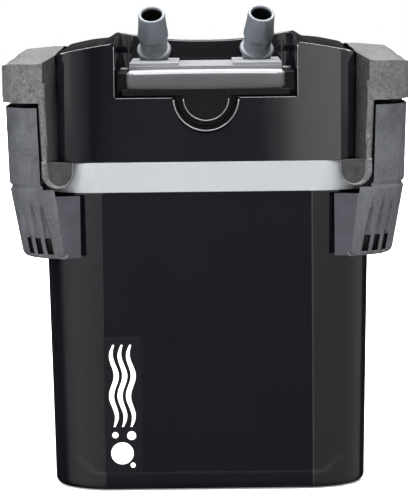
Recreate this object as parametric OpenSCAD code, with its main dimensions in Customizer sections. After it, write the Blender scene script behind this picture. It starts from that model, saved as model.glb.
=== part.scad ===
// Canister filter for an aquarium or pond, as an assembly of named sub-parts.
// Units are millimetres, +Z is up, the front faces -Y, and z = 0 is the floor.

/* [Tub] */
// Half width of the tub at its rim
tub_hx = 96; // [70:1:130]
// Half depth of the tub at its rim
tub_hy = 90; // [65:1:120]
// How much each side draws in towards the base
tub_draft = 3.4; // [0:0.1:8]
// Plan corner radius of the tub
tub_r = 31; // [10:1:45]
// Wall thickness of the tub
tub_wall = 3; // [2:0.5:6]
// Height of the tub rim
rim_z = 184; // [140:1:240]

/* [Collar band] */
// Underside of the pale band
band_z0 = 178; // [130:1:230]
// Top of the pale band
band_z1 = 195.5; // [150:0.5:250]
// How far the band stands out from the tub
band_out = 1.5; // [0.5:0.5:4]

/* [Head] */
// Half width of the head between the clips
head_hx = 87; // [60:1:110]
// Half depth of the head
head_hy = 91; // [60:1:115]
// Crest height of the head
head_z = 266; // [220:1:320]
// Wall thickness of the head cover
head_wall = 3; // [2:0.5:5]
// Half width of the tap recess
recess_hx = 53; // [40:1:70]
// Floor height of the tap recess
recess_z = 232.6; // [210:0.2:250]
// Rear wall of the tap recess
recess_y = 25; // [0:1:60]
// Radius of the finger scoop
scoop_r = 19.2; // [10:0.2:30]

/* [Clips] */
// Side plane of the clip frames
clip_x = 119.5; // [100:0.5:140]
// Front ridge of the clip frames
clip_y = 95; // [80:1:110]
// Plan corner radius of the clips
clip_r = 25; // [10:1:40]
// Wall thickness of the clip levers
clip_wall = 2.4; // [1.5:0.1:4]
// Height of the clip hinge axis
hinge_z = 224; // [200:1:245]
// Sideways place of the clip hinge axis
hinge_x = 113.5; // [105:0.5:118]
// Lowest edge of the clip skirt
skirt_z = 140; // [110:1:170]

/* [Tap and hose tails] */
// Sideways place of each port
port_x = 31; // [20:1:45]
// Port place along the depth
port_y = -25; // [-50:1:10]
// Height of the valve axis
valve_z = 241; // [230:1:260]
// Radius of each valve plug
plug_r = 7; // [5:0.5:9]
// Radius of the water way through the tap
water_r = 5.2; // [3:0.1:8]
// Forward lean of the hose tails
tail_lean = 38; // [0:1:60]
// Length of each hose tail
tail_len = 28; // [15:1:45]
// Radius of the barb crest
crest_r = 9.15; // [6:0.05:12]
// Radius of the bore in the hose tail
tail_bore_r = 6.2; // [4:0.1:8]
// Resting swivel of the left tail, outwards
swivel_left = 3; // [-25:1:25]
// Resting swivel of the right tail, outwards
swivel_right = 9; // [-25:1:25]

/* [Pump] */
// Pump place along the depth
pump_y = 50; // [20:1:65]
// Radius of the magnet
magnet_r = 9.6; // [6:0.2:14]
// Radius of the impeller
impeller_r = 15.5; // [10:0.5:22]
// Number of impeller vanes
vanes = 6; // [3:1:9]
// Radius of the ceramic shaft
shaft_r = 1.25; // [1:0.05:2.5]

/* [Media] */
// Half width of the baskets
basket_hx = 84; // [60:1:100]
// Half depth of the baskets
basket_hy = 78; // [50:1:95]
// Height of each basket
basket_h = 47; // [30:1:70]
// Slots across each basket floor
basket_slots = 13; // [5:1:21]

/* [Quality] */
// Facets on each round
$fn = 72; // [32:4:128]

/* [Hidden] */
eps = 0.01;
lap = 1;
run = 0.05;
skin = 0.2;
floor_z = 0.8;
floor_t = 3.2;
tub_edge = 3;
band_hx = tub_hx + band_out;
band_hy = tub_hy + band_out;
band_r = tub_r + band_out;
ledge_x = 101;
ledge_h = 8;
ledge_hy = 50;
spigot_hx = 89.5;
spigot_hy = 83.5;
spigot_r = 26;
plate_z = 184;
plate_t = 4;
seal_z = 189;
seal_h = 3;
seal_d = 2.5;
flange_z1 = 199;
dome_r = 403;
arch_r = 1500;
arch_y = -30;
valley_z = 257;
valley_r = 278;
slit_z0 = 227.8;
slit_z1 = 230.5;
head_r = 9;
leg_x0 = 87.4;
leg_x1 = 97.4;
foot_x = 86.8;
foot_z = 190;
foot_r = 9.2;
foot_t = 3.5;
leg_y = 76;
leg_z = 200;
ankle_y = 88;
chamfer_y = 84.5;
ear_r = 3.8;
ear_y0 = 36;
ear_y1 = 46;
pin_r = 1.6;
barrel_r = 4;
frame_top = 261.5;
frame_arch_r = 520;
panel_x = 117.8;
panel_in = 98.2;
wing_x = 74;
crease_x0 = 83.5;
crease_x1 = 88.7;
skirt_x0 = 108.8;
skirt_x1 = 115.8;
skirt_z1 = 178;
hook_z0 = 172;
hook_z1 = 177.6;
hook_x = 98.9;
window_angles = [16.5, 31.5, 47.5];
block_hx = 44.7;
block_y0 = -74;
block_y1 = 4;
block_z0 = 233.2;
block_z1 = 250.4;
pad_z = 252;
socket_r = 7.95;
socket_z = 248.6;
spigot_port_r = 8.4;
port_r = 8.9;
port_wall = 2.2;
port_seal_z = 220;
tail_z = 258;
collar_r = 9.6;
root_r = 8.3;
tip_r = 8.05;
grip_hx = 46;
grip_z0 = 237.5;
grip_z1 = 248.5;
grip_y0 = -90;
grip_y1 = -80;
arm_x0 = 46.5;
arm_x1 = 51.5;
hub_r = 7;
journal_r = 3.5;
tongue_r = 14.3;
tongue_y = -89;
well_r = 10.2;
well_z = 224;
motor_r = 21;
volute_r = 18.5;
volute_z = 164;
duct_z = 173.5;
duct_r = 7.5;
duct_bore = 5.5;
riser_r = 9;
riser_bore = 7.2;
sleeve_r = 10.5;
basket_r = 26;
basket_t = 1.8;
basket_z = 14;
foam_gap = 1;
gland_z = 216;
gland_r = 8;
gland_bore = 3.6;
label_x = -50.75;
label_w = 22.3;
label_z0 = 11.7;
label_h = 80.6;
screw_x = 72;
screw_y = 64;

// ---- shared shapes ----

// A rectangle with round corners, about the origin
module plan(hx, hy, r) {
    square([2 * hx, 2 * (hy - r)], center = true);
    square([2 * (hx - r), 2 * hy], center = true);
    for (sx = [-1, 1])
        for (sy = [-1, 1])
            translate([sx * (hx - r), sy * (hy - r)])
                circle(r);
}

// An upright extrusion that starts at z
module rise(z, h) {
    translate([0, 0, z])
        linear_extrude(h)
            children();
}

// A round rod along Z from z0 to z1
module rod(x, y, z0, z1, r) {
    translate([x, y, z0])
        cylinder(h = z1 - z0, r = r);
}

// A round rod along Y from y0 to y1
module rod_y(x, z, y0, y1, r) {
    translate([x, y0, z])
        rotate([-90, 0, 0])
            cylinder(h = y1 - y0, r = r);
}

// A round rod along X from x0 to x1
module rod_x(y, z, x0, x1, r) {
    translate([x0, y, z])
        rotate([0, 90, 0])
            cylinder(h = x1 - x0, r = r);
}

// A block given by two opposite corners
module block(a, b) {
    translate(a)
        cube(b - a);
}

// A flat ring along Z
module ring(x, y, z0, z1, r0, r1) {
    difference() {
        rod(x, y, z0, z1, r1);
        rod(x, y, z0 - lap, z1 + lap, r0);
    }
}

// The drafted form of the tub, drawn in by t
module tub_form(t, z0, z1) {
    hull() {
        rise(z0, 0.1)
            plan(tub_hx - tub_draft - t - tub_edge, tub_hy - tub_draft - t - tub_edge,
                tub_r - tub_edge, $fn = 64);
        rise(z0 + tub_edge, 0.1)
            plan(tub_hx - tub_draft - t, tub_hy - tub_draft - t, tub_r - t, $fn = 64);
        rise(z1 - 0.1, 0.1)
            plan(tub_hx - t, tub_hy - t, tub_r - t, $fn = 64);
    }
}

// ---- tub ----

module foot_pads(z0, z1, r) {
    for (sx = [-1, 1])
        for (sy = [-1, 1])
            rod(sx * 62, sy * 56, z0, z1, r);
}

module canister() {
    color([0.03, 0.03, 0.035])
        difference() {
            tub_form(0, floor_z, rim_z);
            tub_form(tub_wall, floor_z + floor_t, rim_z + eps);
            rise(rim_z - lap, 2 * lap)
                plan(tub_hx - tub_wall, tub_hy - tub_wall, tub_r - tub_wall, $fn = 64);
            foot_pads(-lap, floor_z + 0.7, 9);
        }
}

module canister_feet() {
    color([0.05, 0.05, 0.05])
        foot_pads(0, floor_z + 0.7, 9);
}

module collar_band() {
    color([0.78, 0.79, 0.81])
        difference() {
            union() {
                rise(band_z0, band_z1 - band_z0)
                    plan(band_hx, band_hy, band_r);
                for (s = [-1, 1])
                    block([min(s * (band_hx - lap), s * ledge_x), -ledge_hy, band_z0],
                        [max(s * (band_hx - lap), s * ledge_x), ledge_hy, band_z0 + ledge_h]);
            }
            rise(band_z0 - lap, rim_z - band_z0 + lap)
                plan(tub_hx + skin, tub_hy + skin, tub_r + skin);
            rise(band_z0, band_z1 - band_z0 + lap)
                plan(spigot_hx + 0.5, spigot_hy + 0.5, spigot_r + 0.5);
        }
}

module front_label() {
    tilt = atan2(tub_draft, rim_z - floor_z - tub_edge);
    color([0.85, 0.86, 0.87])
        translate([label_x, -tub_hy + tub_draft - 0.05, floor_z + tub_edge])
            rotate([tilt, 0, 0])
                block([-label_w / 2, -0.35, label_z0 - floor_z - tub_edge],
                    [label_w / 2, 0, label_z0 + label_h - floor_z - tub_edge]);
}

// ---- head ----

// The head's outer form, drawn in by t
module head_form(t, z0) {
    intersection() {
        rise(z0, head_z)
            plan(head_hx - t, head_hy - t, head_r - t);
        translate([0, 0, head_z + 1.8 - t - dome_r])
            rotate([90, 0, 0])
                cylinder(h = 400, r = dome_r, center = true, $fn = 360);
        translate([0, arch_y, head_z - t - arch_r])
            rotate([0, 90, 0])
                cylinder(h = 400, r = arch_r, center = true, $fn = 720);
    }
}

// The tap recess and finger scoop, grown by t
module head_recess(t) {
    rise(recess_z - t, 60) {
        translate([-recess_hx - t, -head_hy - 10])
            square([2 * (recess_hx + t), recess_y + head_hy + 2 + t]);
        translate([-recess_hx + 8, -head_hy - 10])
            square([2 * (recess_hx - 8), recess_y + head_hy + 10 + t]);
        for (s = [-1, 1])
            translate([s * (recess_hx - 8), recess_y - 8])
                circle(8 + t);
    }
    rod_y(0, recess_z - 1.6, -head_hy - 10, -70 + t, scoop_r + t);
}

// The shallow valley across the rear of the head, grown by t
module head_valley(t) {
    translate([0, recess_y - 5, valley_z + valley_r])
        rotate([-90, 0, 0])
            cylinder(h = 200, r = valley_r + t, $fn = 360);
}

module head_cover() {
    color([0.03, 0.03, 0.035])
        difference() {
            head_form(0, band_z1 + 0.2);
            difference() {
                head_form(head_wall, band_z1 - lap);
                head_recess(head_wall);
                head_valley(head_wall);
                for (sx = [-1, 1])
                    for (sy = [-1, 1])
                        rod(sx * screw_x, sy * screw_y, flange_z1 + skin, head_z, 4.5);
            }
            head_recess(0);
            head_valley(0);
            for (s = [-1, 1]) {
                block([min(s * 80, s * 90), -head_hy + 8, band_z1 - lap],
                    [max(s * 80, s * 90), head_hy - 8, flange_z1 + skin]);
                rod(s * port_x, port_y, recess_z - 10, recess_z + lap, port_r + port_wall + 0.3);
            }
            for (sx = [-1, 1])
                for (sy = [-1, 1])
                    rod(sx * screw_x, sy * screw_y, flange_z1 - lap, 216, pin_r);
            rod_y(0, gland_z, head_hy - 10, head_hy + lap, 6);
        }
}

module head_base() {
    color([0.05, 0.05, 0.055])
        difference() {
            union() {
                rise(band_z1, flange_z1 - band_z1)
                    plan(head_hx - head_wall - 0.3, head_hy - head_wall - 0.3, 28);
                for (s = [-1, 1])
                    intersection() {
                        rise(band_z1, flange_z1 - band_z1)
                            plan(band_hx - 1, band_hy - 1, band_r - 1);
                        block([min(s * 80.5, s * 98), -head_hy + 9, band_z1],
                            [max(s * 80.5, s * 98), head_hy - 9, flange_z1]);
                    }
                rise(plate_z, band_z1 - plate_z + eps)
                    plan(spigot_hx, spigot_hy, spigot_r);
                for (s = [-1, 1])
                    rod(s * port_x, port_y, plate_z, recess_z - head_wall - 1, port_r + port_wall);
                rod(-port_x, port_y, plate_z - 9, plate_z + lap, riser_r + 3);
                rod(0, pump_y, plate_z, well_z + 2, well_r + 1.6);
            }
            difference() {
                rise(plate_z + plate_t, 20)
                    plan(spigot_hx - 5, spigot_hy - 5, spigot_r - 5);
                for (s = [-1, 1])
                    rod(s * port_x, port_y, plate_z, recess_z, port_r + port_wall);
                rod(0, pump_y, plate_z, well_z + 2, well_r + 1.6);
                for (sx = [-1, 1])
                    for (sy = [-1, 1])
                        rod(sx * screw_x, sy * screw_y, plate_z, flange_z1, 5);
            }
            difference() {
                rise(seal_z, seal_h)
                    plan(band_hx, band_hy, band_r);
                rise(seal_z - lap, seal_h + 2 * lap)
                    plan(spigot_hx + 0.5 - seal_d, spigot_hy + 0.5 - seal_d, spigot_r + 0.5 - seal_d);
            }
            for (s = [-1, 1]) {
                rod(s * port_x, port_y, plate_z + plate_t, recess_z, port_r);
                rod(s * port_x, port_y, plate_z - 10, plate_z + 5, 5.5);
            }
            rod(-port_x, port_y, plate_z - 10, plate_z - 1, riser_r + run);
            rod(0, pump_y, plate_z - lap, well_z, well_r);
            for (sx = [-1, 1])
                for (sy = [-1, 1])
                    rod(sx * screw_x, sy * screw_y, plate_z - lap, flange_z1 + lap, pin_r);
        }
}

module head_seal() {
    color([0.12, 0.12, 0.12])
        rise(seal_z, seal_h)
            difference() {
                plan(spigot_hx + 0.5, spigot_hy + 0.5, spigot_r + 0.5);
                plan(spigot_hx + 0.5 - seal_d, spigot_hy + 0.5 - seal_d, spigot_r + 0.5 - seal_d);
            }
}

module screw(x, y, z, h, r) {
    difference() {
        union() {
            rod(x, y, z, z + h, r);
            rod(x, y, z - 2.2, z, 2 * r);
        }
        block([x - r, y - 0.4, z - 2.2 - lap], [x + r, y + 0.4, z - 1.2]);
        block([x - 0.4, y - r, z - 2.2 - lap], [x + 0.4, y + r, z - 1.2]);
    }
}

module cover_screws() {
    color([0.7, 0.7, 0.7])
        for (sx = [-1, 1])
            for (sy = [-1, 1])
                screw(sx * screw_x, sy * screw_y, plate_z, 30, pin_r);
}

module cable_gland() {
    color([0.05, 0.05, 0.05])
        difference() {
            union() {
                rod_y(0, gland_z, head_hy + 0.1, clip_y - 0.2, gland_r);
                rod_y(0, gland_z, head_hy - 7, head_hy + 0.2, 5.9);
                rod_y(0, gland_z, head_hy - 7, head_hy - head_wall - 0.1, gland_r);
            }
            rod_y(0, gland_z, head_hy - 8, clip_y, gland_bore);
            for (a = [0 : 30 : 330])
                translate([0, 0, gland_z])
                    rotate([0, a, 0])
                        block([gland_r - 0.6, head_hy + 1.4, -0.8], [gland_r + lap, clip_y, 0.8]);
        }
}

// ---- side clips, drawn for +X and mirrored for the left ----

// Plan of a clip: side plane x, ridge at y, drawn in by t, inner edge at xi
module clip_plan(x, y, r, xi) {
    intersection() {
        union() {
            translate([xi, -(y - r)])
                square([x - xi, 2 * (y - r)]);
            translate([xi, -y])
                square([x - r - xi, 2 * y]);
            for (s = [-1, 1])
                translate([x - r, s * (y - r)])
                    circle(r);
        }
        translate([xi, -clip_y])
            square([clip_x, 2 * clip_y]);
    }
}

module clip_foot(s) {
    rod_y(foot_x, foot_z, s > 0 ? clip_y - foot_t : -clip_y, s > 0 ? clip_y : -clip_y + foot_t,
        foot_r);
}

// The space between y0 and y1 on the side s of the part
module side_block(s, x0, x1, y0, y1, z0, z1) {
    block([x0, min(s * y0, s * y1), z0], [x1, max(s * y0, s * y1), z1]);
}

module clip_frame() {
    difference() {
        union() {
            intersection() {
                rise(slit_z1, 60)
                    clip_plan(clip_x, clip_y, clip_r, leg_x0);
                translate([0, 0, frame_top - frame_arch_r])
                    rotate([0, 90, 0])
                        cylinder(h = 400, r = frame_arch_r, center = true, $fn = 360);
                translate([0, 120, 0])
                    rotate([90, 0, 0])
                        linear_extrude(240)
                            polygon([[80, 200], [130, 200], [130, 254.5], [leg_x0, 260.5], [80, 261]]);
            }
            for (s = [-1, 1])
                intersection() {
                    rise(foot_z, slit_z1 - foot_z + eps)
                        clip_plan(clip_x, clip_y, clip_r, leg_x0);
                    union() {
                        side_block(s, leg_x0, leg_x1, leg_y, clip_y, leg_z, 260);
                        side_block(s, leg_x0, leg_x1, ankle_y, clip_y, foot_z, leg_z + lap);
                    }
                }
            block([leg_x0, -80, leg_z], [leg_x0 + 3, 80, slit_z1 + eps]);
        }
        for (s = [0, 1])
            mirror([0, s, 0])
                rise(170, 120)
                    polygon([[clip_x - clip_r, -clip_y - eps], [leg_x0, -chamfer_y], [80, -chamfer_y],
                        [80, -clip_y - lap], [clip_x - clip_r, -clip_y - lap]]);
        difference() {
            rise(slit_z1 - lap, 20)
                clip_plan(clip_x - 2.5, clip_y - 2.5, clip_r - 2.5, leg_x0 + 3);
            for (s = [-1, 1]) {
                side_block(s, 90, 118, ear_y0, ear_y1, slit_z1 - 2, 260);
                side_block(s, 80, leg_x1, leg_y, 100, slit_z1 - 2, 260);
            }
        }
    }
    for (s = [-1, 1]) {
        clip_foot(s);
        difference() {
            union() {
                side_block(s, hinge_x - ear_r, hinge_x + ear_r, ear_y0, ear_y1, hinge_z, slit_z1 + 1);
                rod_y(hinge_x, hinge_z, min(s * ear_y0, s * ear_y1), max(s * ear_y0, s * ear_y1), ear_r);
            }
            rod_y(hinge_x, hinge_z, -60, 60, pin_r);
        }
    }
}

// A drafted clip skirt, drawn in by t
module skirt_form(t) {
    hull() {
        rise(skirt_z - (t > 0 ? lap : 0), 0.1)
            clip_plan(skirt_x0 - t, clip_y - 1 - t, clip_r - t, crease_x0 + t, $fn = 48);
        rise(skirt_z1 + (t > 0 ? lap : 0), 0.1)
            clip_plan(skirt_x1 - t, clip_y - t, clip_r - t, crease_x1 + t, $fn = 48);
    }
}

module clip_lever() {
    difference() {
        union() {
            difference() {
                rise(skirt_z1, slit_z0 - skirt_z1)
                    intersection() {
                        clip_plan(panel_x, clip_y - 0.2, clip_r - 1.2, 60);
                        translate([panel_in, -100])
                            square([40, 200]);
                    }
                rise(skirt_z1 - lap, 80)
                    clip_plan(panel_x - clip_wall, clip_y - 0.2 - clip_wall, clip_r - 1.2 - clip_wall, 60);
            }
            difference() {
                skirt_form(0);
                skirt_form(clip_wall);
                block([80, -clip_y + 6, skirt_z - lap], [crease_x1 + clip_wall + 1, clip_y - 6, 200]);
            }
            for (s = [-1, 1])
                hull() {
                    block([crease_x1 - 3, s > 0 ? clip_y - clip_wall - 0.6 : -clip_y + 0.6, skirt_z + 1],
                        [crease_x1 + 3, s > 0 ? clip_y - 0.6 : -clip_y + clip_wall + 0.6, skirt_z1 - 1]);
                    block([wing_x, s > 0 ? clip_y - clip_wall - 1.4 : -clip_y + 1.4, skirt_z + 1.8],
                        [wing_x + 1, s > 0 ? clip_y - 1.4 : -clip_y + clip_wall + 1.4, skirt_z1 - 1.7]);
                }
            rod_y(hinge_x, hinge_z, -ear_y0 + 0.5, ear_y0 - 0.5, barrel_r);
            block([hook_x, -ledge_hy + 2, hook_z0], [skirt_x1 - 1.2, ledge_hy - 2, hook_z1]);
        }
        for (s = [-1, 1]) {
            block([hinge_x - 12, min(s * (ear_y0 - 0.5), s * (ear_y1 + 0.5)), hinge_z - 5],
                [clip_x, max(s * (ear_y0 - 0.5), s * (ear_y1 + 0.5)), slit_z0 + lap]);
            for (a = window_angles)
                translate([clip_x - clip_r - 8, s * (clip_y - clip_r), skirt_z + 2])
                    rotate([0, 0, s > 0 ? 90 - a : a - 90])
                        block([clip_r - 5, -1.9, 0], [clip_r + 8, 1.9, 10]);
            translate([panel_in - lap, s > 0 ? 60 : -100, slit_z0 - 4])
                difference() {
                    cube([lap + 4, 40, 4 + lap]);
                    rod_y(lap + 4, 0, -lap, 42, 4);
                }
        }
        block([panel_x - 1, -30, 188], [clip_x, 30, 214]);
        rod_y(hinge_x, hinge_z, -60, 60, pin_r + run);
    }
}

module clip_pin() {
    rod_y(hinge_x, hinge_z, -ear_y1 + 0.5, ear_y1 - 0.5, pin_r);
}

module left_clip_frame() {
    color([0.42, 0.43, 0.45])
        mirror([1, 0, 0])
            clip_frame();
}

module right_clip_frame() {
    color([0.42, 0.43, 0.45])
        clip_frame();
}

module left_clip_lever() {
    color([0.45, 0.46, 0.48])
        mirror([1, 0, 0])
            clip_lever();
}

module right_clip_lever() {
    color([0.45, 0.46, 0.48])
        clip_lever();
}

module left_clip_pin() {
    color([0.75, 0.75, 0.75])
        mirror([1, 0, 0])
            clip_pin();
}

module right_clip_pin() {
    color([0.75, 0.75, 0.75])
        clip_pin();
}

// ---- tap ----

module tap_block() {
    color([0.5, 0.51, 0.53])
        difference() {
            union() {
                block([-block_hx, block_y0, block_z0], [block_hx, block_y1, block_z1]);
                for (s = [-1, 1]) {
                    block([min(s * 16, s * block_hx), block_y0 + 3, block_z1 - lap],
                        [max(s * 16, s * block_hx), block_y1 - 2, pad_z]);
                    rod(s * port_x, port_y, plate_z + plate_t + 4, block_z0 + lap, spigot_port_r);
                }
            }
            for (s = [-1, 1]) {
                rod(s * port_x, port_y, plate_z, pad_z + lap, water_r);
                rod(s * port_x, port_y, socket_z, pad_z + lap, socket_r);
                ring(s * port_x, port_y, port_seal_z, port_seal_z + 3, 7.2, 9);
                rod_x(port_y, valve_z, s > 0 ? 18 : -block_hx - lap, s > 0 ? block_hx + lap : -18,
                    plug_r + run);
            }
            rod_x(port_y, valve_z, -19, 19, journal_r + run);
        }
}

module tap_port_seals() {
    color([0.1, 0.1, 0.1])
        for (s = [-1, 1])
            ring(s * port_x, port_y, port_seal_z, port_seal_z + 3, 7.2, port_r);
}

module valve_spindle() {
    color([0.3, 0.31, 0.33])
        difference() {
            union() {
                rod_x(port_y, valve_z, -arm_x1 + 1, arm_x1 - 1, journal_r);
                for (s = [-1, 1])
                    rod_x(port_y, valve_z, s > 0 ? 19 : -44, s > 0 ? 44 : -19, plug_r);
            }
            for (s = [-1, 1])
                rod(s * port_x, port_y, valve_z - 10, valve_z + 10, water_r);
        }
}

module tap_yoke() {
    color([0.04, 0.04, 0.045])
        difference() {
            union() {
                for (s = [-1, 1]) {
                    block([min(s * arm_x0, s * arm_x1), grip_y0 + 5, 236],
                        [max(s * arm_x0, s * arm_x1), port_y, 247]);
                    rod_x(port_y, valve_z, min(s * arm_x0, s * arm_x1), max(s * arm_x0, s * arm_x1), hub_r);
                }
                block([-48.5, grip_y0 + 1, 234], [48.5, grip_y1 + 2, grip_z0]);
                for (s = [-1, 1])
                    block([min(s * arm_x0, s * 48.5), grip_y0 + 5, 234],
                        [max(s * arm_x0, s * 48.5), grip_y1 + 2, 240]);
                intersection() {
                    rod_y(0, recess_z, tongue_y, tongue_y + 3, tongue_r);
                    block([-20, -100, 200], [20, 0, 235]);
                }
            }
            rod_x(port_y, valve_z, -60, 60, journal_r);
        }
}

module tap_grip() {
    r = 2.4;
    color([0.62, 0.63, 0.64])
        union() {
            translate([-grip_hx, 0, 0])
                rotate([90, 0, 90])
                    linear_extrude(2 * grip_hx)
                        union() {
                            translate([grip_y0, grip_z0 + r])
                                square([grip_y1 - grip_y0, grip_z1 - grip_z0 - 2 * r]);
                            translate([grip_y0 + r, grip_z0])
                                square([grip_y1 - grip_y0 - 2 * r, grip_z1 - grip_z0]);
                            for (y = [grip_y0 + r, grip_y1 - r])
                                for (z = [grip_z0 + r, grip_z1 - r])
                                    translate([y, z])
                                        circle(r);
                        }
        }
}

module elbow(a) {
    difference() {
        union() {
            rod(0, 0, socket_z + 0.1, pad_z + 0.3, socket_r - run);
            rod(0, 0, pad_z + 0.2, tail_z, collar_r);
            translate([0, 0, tail_z])
                sphere(r = collar_r - 0.5);
            translate([0, 0, tail_z])
                rotate([0, 0, a])
                    rotate([tail_lean, 0, 0]) {
                        cylinder(h = 10, r = root_r);
                        translate([0, 0, 8.5])
                            cylinder(h = 1, r1 = root_r, r2 = crest_r);
                        translate([0, 0, 9.5])
                            cylinder(h = 3, r = crest_r);
                        translate([0, 0, 12.5])
                            cylinder(h = tail_len - 12.5, r1 = crest_r, r2 = tip_r);
                    }
        }
        rod(0, 0, socket_z - lap, tail_z - 1, water_r);
        ring(0, 0, 249.8, 251.3, 6.9, 9);
        translate([0, 0, tail_z])
            rotate([0, 0, a])
                rotate([tail_lean, 0, 0]) {
                    translate([0, 0, 3])
                        cylinder(h = tail_len, r = tail_bore_r);
                    translate([0, 0, -3])
                        cylinder(h = 10, r = water_r);
                }
        translate([0, 0, tail_z - 1])
            sphere(r = water_r);
    }
}

module inlet_elbow() {
    color([0.47, 0.49, 0.52])
        translate([-port_x, port_y, 0])
            elbow(-swivel_left);
}

module outlet_elbow() {
    color([0.47, 0.49, 0.52])
        translate([port_x, port_y, 0])
            elbow(swivel_right);
}

module inlet_seal() {
    color([0.1, 0.1, 0.1])
        ring(-port_x, port_y, 249.8, 251.3, 6.9, socket_r - run);
}

module outlet_seal() {
    color([0.1, 0.1, 0.1])
        ring(port_x, port_y, 249.8, 251.3, 6.9, socket_r - run);
}

// ---- pump ----

module motor_housing() {
    color([0.08, 0.08, 0.09])
        difference() {
            union() {
                rod(0, pump_y, plate_z + plate_t, well_z + 6, motor_r);
                block([-18, pump_y - 4, plate_z + plate_t], [18, pump_y + motor_r + 6, well_z - 4]);
            }
            rod(0, pump_y, plate_z, well_z + 2, well_r + 1.6);
        }
}

module rotor_magnet() {
    color([0.25, 0.25, 0.27])
        difference() {
            rod(0, pump_y, 190, 219, magnet_r);
            rod(0, pump_y, 180, 230, shaft_r + run);
        }
}

module impeller() {
    color([0.75, 0.76, 0.78])
        difference() {
            union() {
                rod(0, pump_y, 180, 190, 5);
                rod(0, pump_y, 180, 182, impeller_r);
                for (i = [0 : vanes - 1])
                    translate([0, pump_y, 0])
                        rotate([0, 0, i * 360 / vanes])
                            block([2.5, -0.8, 170.5], [impeller_r - 0.5, 0.8, 181]);
                rod(0, pump_y, 170.5, 181, 4);
            }
            rod(0, pump_y, 160, 200, shaft_r + run);
        }
}

module rotor_shaft() {
    color([0.92, 0.92, 0.9])
        rod(0, pump_y, volute_z + 2, well_z - 1, shaft_r);
}

module shaft_bushes() {
    color([0.1, 0.1, 0.1]) {
        ring(0, pump_y, volute_z + 1, volute_z + 5.5, shaft_r, 3.4);
        difference() {
            rod(0, pump_y, well_z - 4, well_z, well_r);
            rod(0, pump_y, well_z - 5, well_z - 1, shaft_r);
        }
    }
}

module impeller_cover() {
    color([0.08, 0.08, 0.09])
        difference() {
            union() {
                rod(0, pump_y, volute_z, plate_z, volute_r + 2.5);
                rod(0, pump_y, plate_z - 3, plate_z, 27);
                rod_x(pump_y - 8, duct_z, 0, port_x - 8, duct_r);
            }
            rod(0, pump_y, volute_z + 5, plate_z + lap, volute_r);
            difference() {
                rod(0, pump_y, volute_z - lap, volute_z + 6, 9);
                rod(0, pump_y, volute_z - lap, volute_z + 6, 4.6);
                for (a = [0, 60, 120])
                    translate([0, pump_y, volute_z + 2.5])
                        rotate([0, 0, a])
                            cube([20, 2, 5], center = true);
            }
            rod(0, pump_y, volute_z + 1, volute_z + 7, 3.4);
            rod_x(pump_y - 8, duct_z, 10, port_x, duct_bore);
            for (a = [30, 150, 270])
                translate([24 * cos(a), pump_y + 24 * sin(a), plate_z - 4])
                    cylinder(h = 5, r = 1.1);
        }
}

module pump_screws() {
    color([0.75, 0.75, 0.75])
        for (a = [30, 150, 270])
            screw(24 * cos(a), pump_y + 24 * sin(a), plate_z - 3, 2.9, 1.1);
}

module outlet_duct() {
    color([0.08, 0.08, 0.09])
        difference() {
            union() {
                rod_x(pump_y - 8, duct_z, port_x - 8, port_x + 0.5, duct_r);
                rod_y(port_x, duct_z, port_y, pump_y - 8, duct_r);
                rod(port_x, port_y, duct_z, plate_z, duct_r);
                translate([port_x, port_y, duct_z])
                    sphere(r = duct_r);
                translate([port_x, pump_y - 8, duct_z])
                    sphere(r = duct_r);
            }
            rod_x(pump_y - 8, duct_z, port_x - 9, port_x, duct_bore);
            rod_y(port_x, duct_z, port_y, pump_y - 8, duct_bore);
            rod(port_x, port_y, duct_z, plate_z + lap, duct_bore);
            translate([port_x, port_y, duct_z])
                sphere(r = duct_bore);
            translate([port_x, pump_y - 8, duct_z])
                sphere(r = duct_bore);
        }
}

module riser_tube() {
    color([0.3, 0.31, 0.33])
        ring(-port_x, port_y, basket_z + 2, plate_z - 1, riser_bore, riser_r);
}

module riser_seal() {
    color([0.1, 0.1, 0.1])
        ring(-port_x, port_y, plate_z - 12, plate_z - 9, riser_r, riser_r + 2.5);
}

module strainer() {
    color([0.08, 0.08, 0.09])
        difference() {
            rod(-port_x, port_y, floor_z + floor_t + 0.2, basket_z + 2, 13);
            rod(-port_x, port_y, floor_z + floor_t + 2, basket_z + 3, 11);
            for (a = [0 : 30 : 150])
                translate([-port_x, port_y, floor_z + floor_t + 6])
                    rotate([0, 0, a])
                        cube([40, 2.4, 7], center = true);
        }
}

// ---- media ----

module basket(z, legs) {
    difference() {
        union() {
            rise(z, basket_h)
                plan(basket_hx, basket_hy, basket_r);
            if (legs)
                for (sx = [-1, 1])
                    for (sy = [-1, 1])
                        rod(sx * 55, sy * 48, floor_z + floor_t, z + lap, 6);
        }
        difference() {
            rise(z + basket_t, basket_h)
                plan(basket_hx - basket_t, basket_hy - basket_t, basket_r - basket_t);
            rod(-port_x, port_y, z - lap, z + basket_h, sleeve_r + 2);
        }
        rod(-port_x, port_y, z - lap, z + basket_h + lap, legs ? 13.4 : sleeve_r);
        difference() {
            for (i = [0 : basket_slots - 1])
                translate([(i - (basket_slots - 1) / 2) * 12, 0, z])
                    cube([5, 2 * basket_hy - 26, 8], center = true);
            rod(-port_x, port_y, z - lap, z + basket_h, 15.5);
            block([-basket_hx, -2, z - lap], [basket_hx, 2, z + 5]);
            for (sx = [-1, 1])
                for (sy = [-1, 1])
                    rod(sx * 55, sy * 48, z - lap, z + 5, 7);
        }
    }
}

module pad(z, h) {
    rise(z, h)
        difference() {
            plan(basket_hx - basket_t - foam_gap, basket_hy - basket_t - foam_gap,
                basket_r - basket_t - foam_gap);
            translate([-port_x, port_y])
                circle(16);
        }
}

module basket_lower() {
    color([0.1, 0.1, 0.11])
        basket(basket_z, true);
}

module basket_middle() {
    color([0.1, 0.1, 0.11])
        basket(basket_z + basket_h, false);
}

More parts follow.
